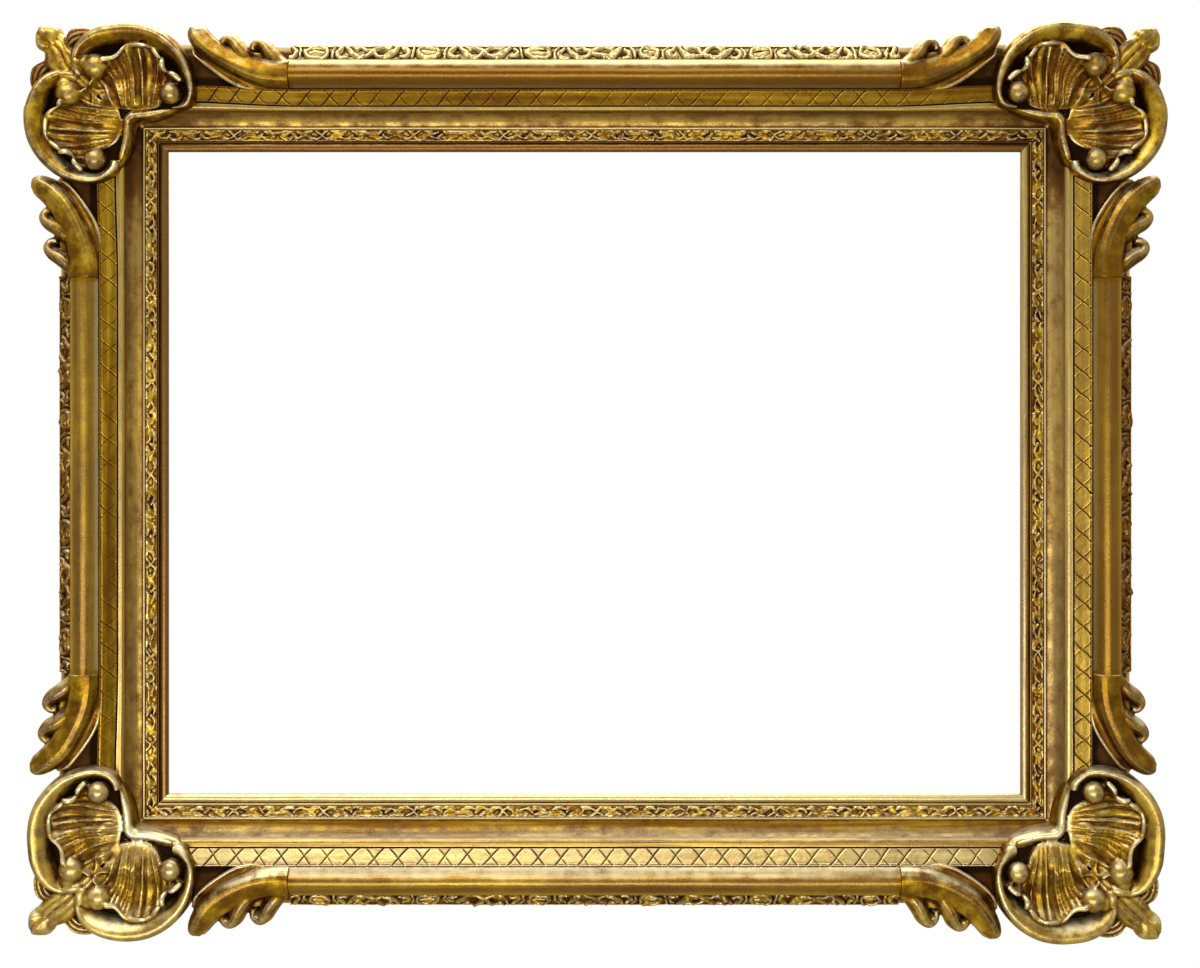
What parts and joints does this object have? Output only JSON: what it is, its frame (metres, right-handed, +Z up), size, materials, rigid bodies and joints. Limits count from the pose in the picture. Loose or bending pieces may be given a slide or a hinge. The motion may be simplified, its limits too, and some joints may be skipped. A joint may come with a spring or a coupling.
{
  "type": "picture frame",
  "caption": "Ornate gilded picture frame in a swept manner, with cast shell corners, leaf ends, a rebate, turn buttons and D-ring hangers.",
  "frame": {"origin": "middle of the opening, on the plane of the rails' backs, where the frame meets the wall", "axes": "+X to the viewer's right along the long rails, +Y towards the wall, +Z up"},
  "size_m": [0.7836, 0.0545, 0.6356],
  "materials": {
    "gilt_casting": "aged gold leaf over cast composition, dark in the hollows",
    "gilt_strip": "aged gold leaf over pressed composition ornament",
    "gilt_torus": "burnished aged gold leaf over softwood",
    "gilt_rail": "aged gold leaf over gessoed softwood, ochre wash on the back",
    "hardwood": "oiled",
    "brass": "dull",
    "steel": "zinc plated"
  },
  "bodies": {
    "frame": {"button_screws": "steel", "corner_bottom_left": "gilt_casting", "corner_bottom_right": "gilt_casting", "corner_top_left": "gilt_casting", "corner_top_right": "gilt_casting", "hanger_screws": "steel", "inner_strip_bottom": "gilt_strip", "inner_strip_left": "gilt_strip", "inner_strip_right": "gilt_strip", "inner_strip_top": "gilt_strip", "leaf_bottom_left": "gilt_casting", "leaf_bottom_right": "gilt_casting", "leaf_left_lower": "gilt_casting", "leaf_left_upper": "gilt_casting", "leaf_right_lower": "gilt_casting", "leaf_right_upper": "gilt_casting", "leaf_top_left": "gilt_casting", "leaf_top_right": "gilt_casting", "outer_strip_bottom": "gilt_strip", "outer_strip_left": "gilt_strip", "outer_strip_right": "gilt_strip", "outer_strip_top": "gilt_strip", "rail_bottom": "gilt_rail", "rail_left": "gilt_rail", "rail_right": "gilt_rail", "rail_top": "gilt_rail", "spline_bottom_left": "hardwood", "spline_bottom_right": "hardwood", "spline_top_left": "hardwood", "spline_top_right": "hardwood", "strap_hangers": "steel", "torus_bottom": "gilt_torus", "torus_left": "gilt_torus", "torus_right": "gilt_torus", "torus_top": "gilt_torus"},
    "button_bottom_1": {"button_bottom_1": "brass"},
    "button_bottom_2": {"button_bottom_2": "brass"},
    "button_left": {"button_left": "brass"},
    "button_right": {"button_right": "brass"},
    "button_top_1": {"button_top_1": "brass"},
    "button_top_2": {"button_top_2": "brass"},
    "ring_left": {"ring_left": "steel"},
    "ring_right": {"ring_right": "steel"}
  },
  "joints": [
    {"name": "button_bottom_1_turn", "type": "hinge", "parent": "frame", "child": "button_bottom_1", "pos_m": [0.09, 0.0014, -0.243], "axis": [0, 1, 0], "continuous": true},
    {"name": "button_bottom_2_turn", "type": "hinge", "parent": "frame", "child": "button_bottom_2", "pos_m": [-0.09, 0.0014, -0.243], "axis": [0, 1, 0], "continuous": true},
    {"name": "button_left_turn", "type": "hinge", "parent": "frame", "child": "button_left", "pos_m": [-0.317, 0.0014, 0], "axis": [0, 1, 0], "continuous": true},
    {"name": "button_right_turn", "type": "hinge", "parent": "frame", "child": "button_right", "pos_m": [0.317, 0.0014, 0], "axis": [0, 1, 0], "continuous": true},
    {"name": "button_top_1_turn", "type": "hinge", "parent": "frame", "child": "button_top_1", "pos_m": [-0.09, 0.0014, 0.243], "axis": [0, 1, 0], "continuous": true},
    {"name": "button_top_2_turn", "type": "hinge", "parent": "frame", "child": "button_top_2", "pos_m": [0.09, 0.0014, 0.243], "axis": [0, 1, 0], "continuous": true},
    {"name": "ring_left_swing", "type": "hinge", "parent": "frame", "child": "ring_left", "pos_m": [-0.34, 0.00284, 0.13], "axis": [1, 0, 0], "range_deg": [0, 180]},
    {"name": "ring_right_swing", "type": "hinge", "parent": "frame", "child": "ring_right", "pos_m": [0.34, 0.00284, 0.13], "axis": [1, 0, 0], "range_deg": [0, 180]}
  ]
}
